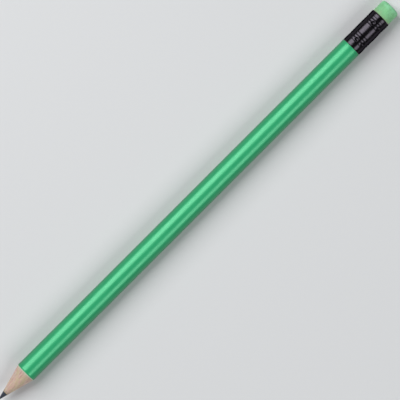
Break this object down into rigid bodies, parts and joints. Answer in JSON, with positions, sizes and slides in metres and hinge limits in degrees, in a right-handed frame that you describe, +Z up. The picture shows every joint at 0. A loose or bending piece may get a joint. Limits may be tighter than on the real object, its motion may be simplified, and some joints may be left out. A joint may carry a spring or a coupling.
{
  "type": "graphite pencil",
  "caption": "Round wood-cased graphite pencil, sharpened, in green metallic lacquer, with a black crimped ferrule and a green eraser.",
  "frame": {"origin": "on the resting surface, under the middle of the pencil's length", "axes": "+X along the pencil's axis from the point towards the eraser, +Z up, away from the surface it lies on; the glue plane between the slats is horizontal"},
  "size_m": [0.1878, 0.0074, 0.0075],
  "materials": {
    "green_lacquer": "metallic flake under clear gloss",
    "primer": "matte",
    "pencil_wood": "bare, cut by a sharpener",
    "wood_glue": "dried, translucent",
    "graphite": "satin grey sheen",
    "black_aluminium": "black gloss lacquer on aluminium, bare at the cut edge",
    "eraser_rubber": "matte, slightly dusty"
  },
  "bodies": {
    "root": {"lead": "graphite", "slat_upper": "pencil_wood", "slat_lower": "pencil_wood", "glue_seam": "wood_glue", "undercoat": "primer", "lacquer": "green_lacquer", "ferrule": "black_aluminium", "eraser": "eraser_rubber"}
  },
  "joints": []
}
